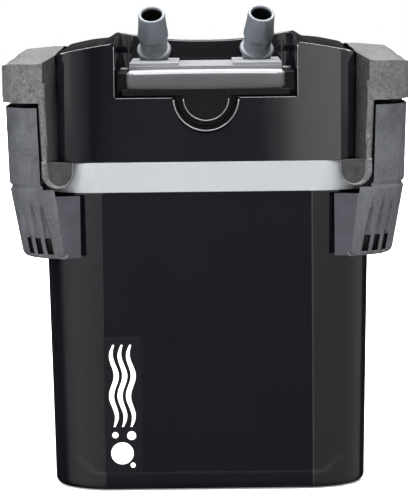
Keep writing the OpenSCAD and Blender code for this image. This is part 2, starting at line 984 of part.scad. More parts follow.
module basket_upper() {
    color([0.1, 0.1, 0.11])
        basket(basket_z + 2 * basket_h, false);
}

module foam_coarse() {
    color([0.1, 0.2, 0.4])
        pad(basket_z + basket_t, basket_h - basket_t - 3);
}

module foam_fine() {
    color([0.9, 0.9, 0.88])
        pad(basket_z + basket_h + basket_t, basket_h - basket_t - 3);
}

module bio_media() {
    pitch = 21;
    z0 = basket_z + 2 * basket_h + basket_t;
    color([0.85, 0.78, 0.68])
        for (ix = [-3 : 3])
            for (iy = [-3 : 3])
                if (norm([ix * pitch + port_x, iy * pitch - port_y]) > 25)
                    for (k = [0, 1])
                        ring(ix * pitch, iy * pitch, z0 + 20 * k, z0 + 20 * k + 18, 4, 9);
}

module basket_handle() {
    z1 = basket_z + 3 * basket_h;
    color([0.3, 0.31, 0.33]) {
        for (s = [-1, 1])
            block([min(s * 70, s * 76), -50, z1], [max(s * 70, s * 76), 62, z1 + 4]);
        block([-76, -56, z1], [76, -50, z1 + 4]);
    }
}

// ---- assembly ----

canister();
collar_band();
canister_feet();
front_label();
head_cover();
head_base();
head_seal();
cover_screws();
cable_gland();
left_clip_frame();
right_clip_frame();
left_clip_pin();
right_clip_pin();
left_clip_lever();
right_clip_lever();
tap_block();
tap_port_seals();
tap_yoke();
tap_grip();
valve_spindle();
inlet_elbow();
outlet_elbow();
inlet_seal();
outlet_seal();
motor_housing();
rotor_magnet();
impeller();
rotor_shaft();
shaft_bushes();
impeller_cover();
pump_screws();
outlet_duct();
riser_tube();
riser_seal();
strainer();
basket_lower();
basket_middle();
basket_upper();
foam_coarse();
foam_fine();
bio_media();
basket_handle();
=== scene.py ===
import math

import bmesh
import bpy
from mathutils import Matrix, Vector
from mathutils.bvhtree import BVHTree


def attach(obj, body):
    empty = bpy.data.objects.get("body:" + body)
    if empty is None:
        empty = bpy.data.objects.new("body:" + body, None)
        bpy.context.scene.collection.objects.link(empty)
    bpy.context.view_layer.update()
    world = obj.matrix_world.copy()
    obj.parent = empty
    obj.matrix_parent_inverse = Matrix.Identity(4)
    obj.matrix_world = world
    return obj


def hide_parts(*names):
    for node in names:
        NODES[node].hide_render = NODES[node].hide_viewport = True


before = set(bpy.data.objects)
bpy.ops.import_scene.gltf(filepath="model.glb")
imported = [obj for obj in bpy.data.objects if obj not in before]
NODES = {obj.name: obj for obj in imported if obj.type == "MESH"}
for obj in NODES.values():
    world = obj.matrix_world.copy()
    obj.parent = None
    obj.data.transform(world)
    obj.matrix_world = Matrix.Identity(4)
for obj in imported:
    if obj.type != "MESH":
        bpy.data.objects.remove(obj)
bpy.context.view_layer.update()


MM = 0.001

# ------------------------------------------------------------------ materials


def tree(name):
    """An empty material: itself, its node tree, its shader and its coordinates."""
    m = bpy.data.materials.new(name)
    m.use_nodes = True
    nt = m.node_tree
    nt.nodes.clear()
    out = nt.nodes.new("ShaderNodeOutputMaterial")
    sh = nt.nodes.new("ShaderNodeBsdfPrincipled")
    nt.links.new(sh.outputs[0], out.inputs[0])
    co = nt.nodes.new("ShaderNodeTexCoord")
    return m, nt, sh, co


def noise(nt, co, scale, detail, rough=0.55, stretch=(1, 1, 1)):
    mp = nt.nodes.new("ShaderNodeMapping")
    mp.inputs["Scale"].default_value = stretch
    nt.links.new(co.outputs["Object"], mp.inputs[0])
    n = nt.nodes.new("ShaderNodeTexNoise")
    n.inputs["Scale"].default_value = scale
    n.inputs["Detail"].default_value = detail
    n.inputs["Roughness"].default_value = rough
    nt.links.new(mp.outputs[0], n.inputs["Vector"])
    return n.outputs["Fac"]


def maths(nt, kind, *values):
    """Output of a math node fed with numbers or sockets."""
    node = nt.nodes.new("ShaderNodeMath")
    node.operation = kind
    for i, v in enumerate(values):
        if isinstance(v, (int, float)):
            node.inputs[i].default_value = v
        else:
            nt.links.new(v, node.inputs[i])
    return node.outputs[0]


def ramp(nt, fac, stops):
    """Colour ramp over a value, from (position, colour) stops in order."""
    r = nt.nodes.new("ShaderNodeValToRGB")
    els = r.color_ramp.elements
    els[1].position, els[1].color = stops[-1][0], (*stops[-1][1], 1)
    els[0].position, els[0].color = stops[0][0], (*stops[0][1], 1)
    for p, c in stops[1:-1]:
        els.new(p).color = (*c, 1)
    nt.links.new(fac, r.inputs[0])
    return r.outputs[0]


def grey(v):
    return (v, v, v)


def bump(nt, sh, height, strength, dist):
    b = nt.nodes.new("ShaderNodeBump")
    b.inputs["Strength"].default_value = strength
    b.inputs["Distance"].default_value = dist
    nt.links.new(height, b.inputs["Height"])
    nt.links.new(b.outputs[0], sh.inputs["Normal"])


def plastic(name, base, rough, vary=0.12, blotch=60, grain=1400, depth=0.00006, strength=0.35, fleck=0.0,
            spec=0.5, wobble=0.0):
    """Moulded plastic: blotchy tone, grain in colour, roughness and bump, and scuffs or waves where asked."""
    m, nt, sh, co = tree(name)
    fine = noise(nt, co, grain, 2)
    tone = maths(nt, "MULTIPLY_ADD", noise(nt, co, blotch, 3), 0.6, maths(nt, "MULTIPLY", fine, 0.4))
    lo = tuple(c * (1 - vary) for c in base)
    hi = tuple(min(1, c * (1 + vary)) for c in base)
    col = ramp(nt, tone, [(0.3, lo), (0.7, hi)])
    if fleck:
        sp = noise(nt, co, 520, 6, 0.8)
        mask = ramp(nt, sp, [(0.4, grey(0)), (0.78, grey(fleck))])
        mx = nt.nodes.new("ShaderNodeMix")
        mx.data_type = "RGBA"
        nt.links.new(mask, mx.inputs["Factor"])
        nt.links.new(col, mx.inputs["A"])
        mx.inputs["B"].default_value = (*[min(1, c * 2.2 + 0.05) for c in base], 1)
        col = mx.outputs["Result"]
    nt.links.new(col, sh.inputs["Base Color"])
    r = ramp(nt, fine, [(0.25, grey(rough * 0.85)), (0.75, grey(min(1, rough * 1.15)))])
    nt.links.new(r, sh.inputs["Roughness"])
    sh.inputs["Specular IOR Level"].default_value = spec
    height = maths(nt, "MULTIPLY_ADD", noise(nt, co, 14, 1), wobble, fine) if wobble else fine
    bump(nt, sh, height, strength, depth)
    return m


def bowed(m, radius):
    """Let the wall read as slightly bowed about the middle, over its own grain."""
    nt = m.node_tree
    old = next(n for n in nt.nodes if n.type == "BUMP")
    co = next(n for n in nt.nodes if n.type == "TEX_COORD")
    sep = nt.nodes.new("ShaderNodeSeparateXYZ")
    nt.links.new(co.outputs["Object"], sep.inputs[0])
    x = sep.outputs[0]
    sag = maths(nt, "MULTIPLY", maths(nt, "MULTIPLY", x, x), -1 / (2 * radius))
    b = nt.nodes.new("ShaderNodeBump")
    b.inputs["Strength"].default_value = 1.0
    b.inputs["Distance"].default_value = 1.0
    nt.links.new(sag, b.inputs["Height"])
    nt.links.new(b.outputs[0], old.inputs["Normal"])


def metal(name, base, rough):
    """Drawn metal, streaked along its length."""
    m, nt, sh, co = tree(name)
    n = noise(nt, co, 900, 3, 0.6, (1, 0.06, 1))
    nt.links.new(ramp(nt, n, [(0.3, tuple(c * 0.8 for c in base)), (0.7, base)]), sh.inputs["Base Color"])
    nt.links.new(ramp(nt, n, [(0.3, grey(rough * 0.7)), (0.7, grey(rough * 1.3))]), sh.inputs["Roughness"])
    sh.inputs["Metallic"].default_value = 1.0
    bump(nt, sh, n, 0.2, 0.00003)
    return m


def foam(name, base, cell):
    """Open-cell foam: painted shade in the pores between pale struts."""
    m, nt, sh, co = tree(name)
    v = nt.nodes.new("ShaderNodeTexVoronoi")
    v.inputs["Scale"].default_value = cell
    nt.links.new(co.outputs["Object"], v.inputs["Vector"])
    d = v.outputs["Distance"]
    # painted shade: the ramp darkens the pores toward the cell centres
    nt.links.new(ramp(nt, d, [(0.1, tuple(c * 0.25 for c in base)), (0.55, base)]), sh.inputs["Base Color"])
    sh.inputs["Roughness"].default_value = 0.95
    bump(nt, sh, d, 1.0, 0.0012)
    return m


M = {
    "gloss": plastic("gloss_black", (0.0022, 0.0022, 0.0032), 0.045, vary=0.2, blotch=25, grain=900,
                     depth=0.000008, strength=0.06, spec=0.5, wobble=2.0),
    "gloss_head": plastic("gloss_black_head", (0.0024, 0.0023, 0.0034), 0.02, vary=0.2, blotch=25, grain=900,
                          depth=0.000008, strength=0.06, spec=0.5, wobble=2.0),
    # painted shade: a flat matte black for sheets and faces standing in for shade in bores, windows and cut
    # edges
    "bore": plastic("painted_shade_black", (0.002, 0.002, 0.0022), 0.6, spec=0.1),
    "inner": plastic("inner_black", (0.018, 0.018, 0.02), 0.35),
    "clip": plastic("clip_plastic", (0.027, 0.027, 0.029), 0.44, vary=0.75, blotch=85, grain=700,
                    depth=0.00025, strength=0.8, fleck=0.95),
    # painted shade: a darker copy of the clip plastic for faces turned away from the light or sunk in gaps
    "clip_painted_shade": plastic("clip_painted_shade_plastic", (0.012, 0.012, 0.013), 0.5, vary=0.6, blotch=260, grain=700,
                         depth=0.0003, strength=0.8, fleck=0.12),
    # painted shade: a darker, bluer copy of the lever plastic for the wings turned in toward the head
    "lever_shade": plastic("lever_painted_shade_plastic", (0.015, 0.016, 0.022), 0.5, vary=0.3, blotch=110, grain=700,
                           depth=0.0002, strength=0.6, fleck=0.12),
    "lever": plastic("lever_plastic", (0.029, 0.031, 0.036), 0.46, vary=0.55, blotch=70, grain=700,
                     depth=0.00018, strength=0.6, fleck=0.3),
    "band": plastic("band_plastic", (0.18, 0.189, 0.2), 0.42, vary=0.03, blotch=18, grain=1500,
                    depth=0.00005, strength=0.25),
    "tap": plastic("tap_plastic", (0.14, 0.143, 0.153), 0.34, blotch=50, grain=1500, strength=0.3),
    "grip": plastic("grip_plastic", (0.03, 0.03, 0.032), 0.36, vary=0.14, blotch=40, grain=1500, strength=0.3),
    "tail": plastic("tail_plastic", (0.085, 0.094, 0.106), 0.32, vary=0.08, grain=1500, depth=0.00005,
                    strength=0.25),
    "rubber": plastic("rubber", (0.02, 0.02, 0.021), 0.75, depth=0.0001, strength=0.5),
    "yoke": plastic("yoke_black", (0.0028, 0.0028, 0.0034), 0.22, vary=0.3, spec=0.18),
    # painted highlight: a lighter grey base for the thin beads that stand in for the highlights on the moulding
    # edges
    "edge": plastic("painted_highlight_edge", (0.085, 0.085, 0.09), 0.24, vary=0.5, spec=1.0),
    "steel": metal("steel", (0.6, 0.6, 0.61), 0.3),
    "magnet": plastic("magnet", (0.07, 0.07, 0.075), 0.45),
    "white": plastic("impeller_white", (0.6, 0.61, 0.63), 0.35, vary=0.05),
    "ceramic": plastic("ceramic", (0.78, 0.77, 0.74), 0.2, vary=0.04),
    "clay": plastic("clay", (0.58, 0.48, 0.37), 0.9, vary=0.25, blotch=120, grain=1000, depth=0.0004,
                    strength=0.8),
    "basket": plastic("basket_black", (0.03, 0.03, 0.033), 0.4),
    "print": plastic("label_print", (0.8, 0.8, 0.81), 0.3, vary=0.02),
    "film": plastic("label_film", (0.0035, 0.0035, 0.0045), 0.07, vary=0.2, blotch=90),
    "foam_blue": foam("foam_blue", (0.05, 0.12, 0.32), 420),
    "foam_white": foam("foam_white", (0.75, 0.75, 0.71), 900),
}
bowed(M["gloss_head"], 1.3)
NODE_MAT = {
    "canister": "gloss", "collar_band": "band", "canister_feet": "rubber", "front_label": "film",
    "head_cover": "gloss_head", "head_base": "inner", "head_seal": "rubber", "cover_screws": "steel",
    "cable_gland": "inner", "left_clip_frame": "clip", "right_clip_frame": "clip", "left_clip_pin": "steel",
    "right_clip_pin": "steel", "left_clip_lever": "lever", "right_clip_lever": "lever", "tap_block": "tap",
    "tap_port_seals": "rubber", "tap_yoke": "yoke", "tap_grip": "grip", "valve_spindle": "tail",
    "inlet_elbow": "tail", "outlet_elbow": "tail", "inlet_seal": "rubber", "outlet_seal": "rubber",
    "motor_housing": "inner", "rotor_magnet": "magnet", "impeller": "white", "rotor_shaft": "ceramic",
    "shaft_bushes": "rubber", "impeller_cover": "inner", "pump_screws": "steel", "outlet_duct": "inner",
    "riser_tube": "tail", "riser_seal": "rubber", "strainer": "inner", "basket_lower": "basket",
    "basket_middle": "basket", "basket_upper": "basket", "foam_coarse": "foam_blue", "foam_fine": "foam_white",
    "bio_media": "clay", "basket_handle": "tail",
}
for n, o in NODES.items():
    o.data.materials.clear()
    o.data.materials.append(M[NODE_MAT[n]])

# ------------------------------------------------------------------ helpers


def piece(name, verts, faces, mat, body, replaces=(), smooth=True):
    """A visible piece from points in metres: doubles merged, normals outward, riding on a body."""
    me = bpy.data.meshes.new(name)
    me.from_pydata([tuple(v) for v in verts], [], faces)
    me.validate()
    bm = bmesh.new()
    bm.from_mesh(me)
    bmesh.ops.remove_doubles(bm, verts=bm.verts, dist=0.00001)
    bmesh.ops.delete(bm, geom=[v for v in bm.verts if not v.link_faces], context="VERTS")
    bmesh.ops.recalc_face_normals(bm, faces=bm.faces)
    bm.to_mesh(me)
    bm.free()
    for p in me.polygons:
        p.use_smooth = smooth
    ob = bpy.data.objects.new(name, me)
    bpy.context.scene.collection.objects.link(ob)
    me.materials.append(M[mat])
    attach(ob, body)
    if replaces:
        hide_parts(*replaces)
    return ob


def mm(x, y, z):
    """A point given in mm, in metres."""
    return x * MM, y * MM, z * MM


def sheet_faces(rows, cols, closed=False, keep=None):
    """Quads over rows of points, closed round each row or thinned by keep(row, column) where asked."""
    fs = []
    for r in range(rows - 1):
        for c in range(cols if closed else cols - 1):
            if keep and not keep(r, c):
                continue
            d = (c + 1) % cols
            fs.append((r * cols + c, r * cols + d, (r + 1) * cols + d, (r + 1) * cols + c))
    return fs


def lofted(rows, cols):
    """Faces of a closed loft through rows of points, with both ends filled."""
    ends = [tuple(range(cols)), tuple(range((rows - 1) * cols, rows * cols))]
    return sheet_faces(rows, cols, closed=True) + ends


def second_mat(ob, mat, test):
    """Give the faces that pass a test a second material, and return them."""
    ob.data.materials.append(M[mat])
    chosen = [p for p in ob.data.polygons if test(p)]
    for p in chosen:
        p.material_index = 1
    return chosen


def bevel(ob, width, segments=3, angle=30):
    b = ob.modifiers.new("edge", "BEVEL")
    b.width = width
    b.segments = segments
    b.limit_method = "ANGLE"
    b.angle_limit = math.radians(angle)
    b.harden_normals = True
    b.use_clamp_overlap = True
    b.miter_outer = "MITER_ARC"


def thick(ob, t, offset):
    """Give a sheet a wall: offset 0 both ways, -1 inward."""
    s = ob.modifiers.new("wall", "SOLIDIFY")
    s.thickness = t
    s.offset = offset
    s.use_even_offset = False
    s.use_quality_normals = True


def clean(ob, width):
    """Round the CAD node's own edges without touching its mesh."""
    w = ob.modifiers.new("weld", "WELD")
    w.merge_threshold = 0.00002
    d = ob.modifiers.new("flat", "DECIMATE")
    d.decimate_type = "DISSOLVE"
    d.angle_limit = math.radians(1.0)
    bevel(ob, width)


def lerp(a, b, t):
    return a + (b - a) * t


def clamp(t, a=0.0, b=1.0):
    return max(a, min(b, t))


def smooth(t):
    """Ease from 0 to 1 as t goes from 0 to 1."""
    t = clamp(t)
    return t * t * (3 - 2 * t)


ROUNDING = {"head_cover": 1.3, "collar_band": 0.5, "head_base": 0.3, "tap_block": 2.0, "tap_yoke": 0.9,
            "cable_gland": 0.4, "basket_handle": 0.8, "impeller_cover": 0.5, "motor_housing": 1.0,
            "valve_spindle": 0.3, "front_label": 0.05}
for n, w in ROUNDING.items():
    clean(NODES[n], w * MM)

# ------------------------------------------------------------------ side clips


CLIP_X, CLIP_Y, CLIP_R = 119.5, 94.8, 25.0  # side plane, ridge plane and corner radius, in mm
INNER_X, INNER_Y = 87.5, 84.6  # where a clip meets the head
BLOCK_Z = 230.6  # underside of a clip's top block
HINGE_X, HINGE_Z, EAR_R, EAR_Y = 113.5, 224.0, 3.8, (36, 46)
EAR_TOP = 231.5
FOOT_X, FOOT_Z, FOOT_R = 86.6, 190.0, 9.2
FOOT_FACE_Y = 93.1


def head_top(x, y):
    """Dome of the head's cover, in mm."""
    return 268.6 - x * x / 806 - (y + 30) ** 2 / 3000


def clip_top(x, y):
    """Domed lid of a clip's block: it falls toward the side and rises to meet the head, in mm."""
    base = 253.2 + 5.5 * (1 - min(1.0, abs(y) / 88) ** 2)
    base -= (0.4 + 6.4 * smooth((abs(x) - 110) / 9.5)) * smooth((y + 100) / 55) * smooth((92 - y) / 18)
    base += 1.4 * smooth((112 - abs(x)) / 20) * smooth((y + 60) / 90)
    s = clamp((96 - abs(x)) / 8.6)
    return lerp(base, max(base, head_top(87.4, y) - 0.3), s)


def clip_outline(x_side, y_ridge, r, n_arc, n_side):
    """Points of a clip's plan from the front ridge round the side to the rear ridge."""
    pts = []
    for i in range(n_arc + 1):
        a = math.pi / 2 * i / n_arc
        pts.append((x_side - r + r * math.sin(a), -(y_ridge - r) - r * math.cos(a)))
    for i in range(1, n_side):
        pts.append((x_side, lerp(-(y_ridge - r), y_ridge - r, i / n_side)))
    for i in range(n_arc + 1):
        a = math.pi / 2 * (1 - i / n_arc)
        pts.append((x_side - r + r * math.sin(a), (y_ridge - r) + r * math.cos(a)))
    return pts


def clip_block(side, name):
    """Top block with a domed lid and a lip underneath, with painted shade where its ends turn in to the head."""
    loop = [(INNER_X, -INNER_Y), (91, -89.7)] + clip_outline(CLIP_X, CLIP_Y, CLIP_R, 12, 14)
    loop += [(91, 89.7), (INNER_X, INNER_Y)]
    n = len(loop)
    verts = [mm(side * x, y, z) for z in (BLOCK_Z, 231.6, 243.0) for x, y in loop]
    verts += [mm(side * x, y, clip_top(x, y)) for x, y in loop]
    faces = sheet_faces(4, n)
    lid_rows = 8
    prev = list(range(3 * n, 4 * n))
    for k in range(1, lid_rows + 1):
        t = (k / lid_rows) ** 1.8
        row = list(range(len(verts), len(verts) + n))
        for x, y in loop:
            px, py = lerp(x, INNER_X, t), lerp(y, clamp(y, -INNER_Y, INNER_Y), t)
            verts.append(mm(side * px, py, clip_top(px, py)))
        faces += [(prev[i], prev[i + 1], row[i + 1], row[i]) for i in range(n - 1)]
        prev = row
    # the lip, turned in
    lip = list(range(len(verts), len(verts) + n))
    verts += [mm(side * (x - 3.0 if x > 95 else x), y * 0.968, BLOCK_Z) for x, y in loop]
    faces += [(i, i + 1, lip[i + 1], lip[i]) for i in range(n - 1)]
    ob = piece(f"{name}_clip_block", verts, faces, "clip", "filter", (f"{name}_clip_frame",))
    second_mat(ob, "clip_painted_shade", lambda p: abs(p.center.x) < 93 * MM and abs(p.center.y) > 84 * MM
               and abs(p.normal.z) < 0.3)
    bevel(ob, 1.1 * MM, 3, 32)


def clip_web(side, name):
    """The wall between the legs, close beside the head, all in the darker clip material as painted shade."""
    zs, ys = (200.4, 214, 228, 240, 251), (-86, -84, -60, -20, 20, 60, 84, 86)
    verts = [mm(side * (88.0 + 0.8 * smooth((abs(y) - 83) / 3)), y * 0.968, z) for z in zs for y in ys]
    faces = sheet_faces(len(zs), len(ys))
    web = piece(f"{name}_clip_web", verts, faces, "clip_painted_shade", "filter", ())
    thick(web, 1.6 * MM, 0.0)


def clip_ear(side, sy, name):
    """Hinge ear: it hangs from the block and carries the pin."""
    ear = [(HINGE_X + EAR_R, EAR_TOP), (HINGE_X + EAR_R, HINGE_Z)]
    ear += [(HINGE_X + EAR_R * math.cos(a), HINGE_Z - EAR_R * math.sin(a))
            for a in (math.pi * i / 16 for i in range(1, 17))]
    ear.append((HINGE_X - EAR_R, EAR_TOP))
    verts = [mm(side * x, sy * y, z) for y in EAR_Y for x, z in ear]
    ob = piece(f"{name}_clip_ear", verts, lofted(2, len(ear)), "clip", "filter", (), smooth=False)
    bevel(ob, 0.4 * MM, 2)


def clip_leg(side, sy, name):
    """Leg with a ridge in front and a chamfered inner face, drawn in a little as it goes down."""
    prof = [(97.4, 80.0), (97.4, 91.6), (97.0, 93.6), (96.2, 94.5), (94.9, 94.8), (94.0, 94.6), (93.2, 93.6),
            (91.0, 89.9), (87.5, 84.7), (87.5, 80.0)]
    zs = [242, 230, 222, 214, 206, 200, 196.6]
    verts = [mm(side * (x - 1.5 * clamp((230 - z) / 33)), sy * y, z) for z in zs for x, y in prof]
    leg = piece(f"{name}_clip_leg", verts, lofted(len(zs), len(prof)), "clip", "filter", ())
    # painted shade: the chamfered inner face takes the darker copy of the clip plastic
    second_mat(leg, "clip_painted_shade", lambda p: abs(p.center.x) < 92.6 * MM and p.normal.y * sy > 0.2)
    bevel(leg, 0.35 * MM, 2, 50)


def clip_foot(side, sy, name):
    """U-shaped foot: its rim carries the ridge round the end and thins out on the inner side."""
    # points of the rim: x, z, the way outward in x and z, and the rim's width
    line = [(FOOT_X + FOOT_R, z, 1, 0, 3.8) for z in (196.8, 195, 192.5)]
    for i in range(29):
        c, s = math.cos(-math.pi * i / 28), math.sin(-math.pi * i / 28)
        line.append((FOOT_X + FOOT_R * c, FOOT_Z + FOOT_R * s, c, s, lerp(3.8, 1.1, smooth(i / 20))))
    line += [(FOOT_X - FOOT_R, z, -1, 0, w) for z, w in ((192, 0.9), (194, 0.7), (195.6, 0.5))]
    # across the rim: share of its width, and y
    rings = [(0.0, 89.8), (0.0, 94.2), (0.12, 94.65), (0.4, 94.8), (0.72, 94.6), (0.92, 93.6),
             (1.0, FOOT_FACE_Y)]
    verts = [mm(side * (x - nx * w * k), sy * y, z - nz * w * k) for k, y in rings for x, z, nx, nz, w in line]
    m, last = len(line), len(rings) - 1
    faces = sheet_faces(len(rings), m) + [tuple(range(last * m, (last + 1) * m)), tuple(range(m))]
    faces.append(tuple(k * m for k in range(last + 1)) + tuple(k * m + m - 1 for k in range(last, -1, -1)))
    foot = piece(f"{name}_clip_foot", verts, faces, "clip", "filter", ())
    # painted shade: the foot's sunken inner face takes the darker copy of the clip plastic
    for p in second_mat(foot, "clip_painted_shade", lambda p: abs(abs(p.center.y) - FOOT_FACE_Y * MM) < 0.2 * MM):
        p.use_smooth = False


def clip_frame(side):
    name = "left" if side < 0 else "right"
    clip_block(side, name)
    clip_web(side, name)
    for sy, tag in ((-1, "front"), (1, "rear")):
        for part in (clip_ear, clip_leg, clip_foot):
            part(side, sy, f"{name}_{tag}")


LEVER_Y, LEVER_R = 94.6, 25.0  # ridge plane and corner radius of a lever
LEVER_FOOT = 140
WINDOWS = (16.5, 31.5, 47.5)  # middles of the three windows round the corner, in degrees
WINDOW_Z = (142.4, 151.8)
SIDE_YS = (-60, -46.5, -41, -35.5, -24, -12, 0, 12, 24, 35.5, 41, 46.5, 60)
HOOK = [(98.9, 172), (113.6, 172), (113.6, 177.6), (98.9, 177.6)]


def lever_crease(z):
    return lerp(83.5, 88.7, clamp((z - LEVER_FOOT) / 40))


def lever_side(z):
    """Side plane of the lever at height z, in mm: a flare, a step in and out, and the straight wall."""
    if z > 183.4:
        x = lerp(116.4, 117.8, (z - 183.4) / (227.8 - 183.4))
    elif z > 181.4:
        x = lerp(114.7, 116.4, (z - 181.4) / 2.0)
    elif z > 179.2:
        x = lerp(115.9, 114.7, (z - 179.2) / 2.2)
    else:
        x = lerp(108.8, 115.9, (z - LEVER_FOOT) / 39.2)
    if z < 143.5:
        x -= 2.2 * (1 - math.sqrt(max(0.0, 1 - ((143.5 - z) / 3.5) ** 2)))
    return x


def clip_lever(side):
    """Wrap-round shell with three windows at each corner, a matte black sheet of painted shade behind them, a
    barrel and a hook rib.
    """
    name = "left" if side < 0 else "right"
    zs = [LEVER_FOOT, 140.3, 140.8, 141.5, 142.4, 143.6, 146, 149, 151.8, 152.6, 155, 158, 161, 164, 167, 170,
          172.5, 175, 176.4, 177.6, 178.6, 179.2, 180.2, 181.4, 182.4, 183.4, 184.2, 187, 192, 200, 210, 218,
          223, 226, 227.2, 227.8]
    arc = sorted(set([0, 6, 9, 12.5, 14, 17, 20, 23, 38, 39.5, 57, 59, 75.5, 80, 85, 90]
                     + [w + d for w in WINDOWS for d in (-4.6, -4.0, -2.6, -1.3, 0, 1.3, 2.6, 4.0, 4.6)]))
    cols = [("wing", t) for t in (0, 0.08, 0.3, 0.6, 0.9, 0.97)]
    cols += [("flat", t) for t in (0, 0.06, 0.3, 0.6)] + [("arc", a) for a in arc]
    left = len(cols)
    verts = []

    def point(kind, t, z, sy):
        crease, cx = lever_crease(z), lever_side(z) - LEVER_R
        if kind == "wing":
            x, y = lerp(74.0, crease, t), LEVER_Y - lerp(3.2, 0.0, t)
        elif kind == "flat":
            x, y = lerp(crease, cx, t), LEVER_Y
        else:
            a, r = math.radians(t), LEVER_R
            if 141.5 < z < 172.5:
                half = lerp(4.6, 1.6, clamp((z - 152) / 20))
                for d in (abs(t - w) / half for w in WINDOWS):
                    if d < 1:
                        r -= 1.7 * (1 - d ** 4) * smooth((172.5 - z) / 5)
            x, y = cx + r * math.sin(a), (LEVER_Y - LEVER_R) + r * math.cos(a)
        return mm(side * x, sy * y, z)

    for z in zs:
        verts += [point(k, t, z, -1) for k, t in cols]
        for y in SIDE_YS:
            dip = 1.1 * smooth((31.5 - abs(y)) / 3) * smooth((z - 186) / 2.5) * smooth((216 - z) / 2.5)
            verts.append(mm(side * (lever_side(z) - dip), y, z))
        verts += [point(k, t, z, 1) for k, t in reversed(cols)]
    nc = len(verts) // len(zs)

    def edge_col(c):
        return c if c < left else nc - 2 - c

    def keep(r, c):
        """Leave out the hinge slots, the wings' upper parts and the windows."""
        zm = (zs[r] + zs[r + 1]) / 2
        e = edge_col(c)
        if left <= c < left + len(SIDE_YS) - 1 and zm > 218:
            near, far = sorted(abs(y) for y in SIDE_YS[c - left:c - left + 2])
            if near > 35 and far < 47:
                return False
        if 0 <= e < left - 1:
            kind, t = cols[e]
            if zm > 176.4 and kind == "wing":
                return False
            if zm > 180.2 and (kind == "flat" or (kind == "arc" and t < 12.4)):
                return False
            if kind == "arc" and WINDOW_Z[0] < zm < WINDOW_Z[1]:
                tm = (t + cols[e + 1][1]) / 2
                if any(abs(tm - w) < 4.5 for w in WINDOWS):
                    return False
        return True

    ob = piece(f"{name}_lever_shell", verts, sheet_faces(len(zs), nc, keep=keep), "lever", f"{name}_clip",
               (f"{name}_clip_lever",))
    # painted shade: the wing faces, turned in toward the head, take the darker copy of the lever plastic
    second_mat(ob, "lever_shade", lambda p: p.center.z < 177 * MM
               and abs(p.center.x) < (lever_crease(p.center.z / MM) - 0.3) * MM)
    # the wall's cut edges take the face's material two slots on: dark for both, as painted shade on the cut
    # edges
    for _ in range(2):
        ob.data.materials.append(M["bore"])
    thick(ob, 2.2 * MM, -1.0)
    ob.modifiers["wall"].material_offset_rim = 2
    bevel(ob, 0.35 * MM, 2, 62)
    # a matte black sheet behind the windows, painted shade so that they read dark
    steps, window_shade_r = 13, 22.5
    verts = []
    for z in (141.2, 147, 153.5):
        cx = lever_side(z + 4) - LEVER_R
        for sy in (-1, 1):
            for a in (math.radians(6 + 60 * i / (steps - 1)) for i in range(steps)):
                y = (LEVER_Y - LEVER_R) + window_shade_r * math.cos(a)
                verts.append(mm(side * (cx + window_shade_r * math.sin(a)), sy * y, z))
    cols_all = 2 * steps
    fs = [f for f in sheet_faces(3, cols_all) if f[0] % cols_all != steps - 1]
    window_shade = piece(f"{name}_lever_window_shade", verts, fs, "bore", f"{name}_clip", ())
    thick(window_shade, 0.8 * MM, 0.0)
    # hinge barrel and hook rib behind the shell
    ring = [(HINGE_X + 2.3 * math.cos(a), HINGE_Z + 3.4 * math.sin(a))
            for a in (2 * math.pi * i / 20 for i in range(20))]
    for part, outline, half, width in (("barrel", ring, 35.5, 0.4), ("hook", HOOK, 48, 0.8)):
        verts = [mm(side * x, y, z) for y in (-half, half) for x, z in outline]
        ob = piece(f"{name}_lever_{part}", verts, lofted(2, len(outline)), "lever", f"{name}_clip", (),
                   smooth=False)
        bevel(ob, width * MM, 2)


for sd in (-1, 1):
    clip_frame(sd)
    clip_lever(sd)

# ------------------------------------------------------------------ tub


TUB_H = 184
CREASE_X = 61.4  # where the flat front meets its outer thirds
CREASE_BAND = (-62.0, -61.6, -61.2, -60.2)
ARC_N, SIDE_NX, SIDE_NY = 22, 30, 26  # points round a corner and along the sides


def tub_half(z):
    """Half width and half depth of the drafted tub at height z, in mm."""
    return lerp(92.6, 96.0, z / TUB_H), lerp(86.6, 90.0, z / TUB_H)


def round_rect(hx, hy, r):
    """Plan points of a rectangle with round corners, from the front left corner round to the right."""
    fx, fy = hx - r, hy - r
    pts = [(lerp(-fx, fx, i / SIDE_NX), -hy) for i in range(SIDE_NX)]
    sides = ([(hx, lerp(-fy, fy, i / SIDE_NY)) for i in range(SIDE_NY)],
             [(lerp(fx, -fx, i / SIDE_NX), hy) for i in range(SIDE_NX)],
             [(-hx, lerp(fy, -fy, i / SIDE_NY)) for i in range(SIDE_NY)], [])
    for cx, cy, a0, after in zip((fx, fx, -fx, -fx), (-fy, fy, fy, -fy), (-90, 0, 90, 180), sides):
        for i in range(ARC_N):
            a = math.radians(a0 + 90 * i / ARC_N)
            pts.append((cx + r * math.cos(a), cy + r * math.sin(a)))
        pts += after
    return pts


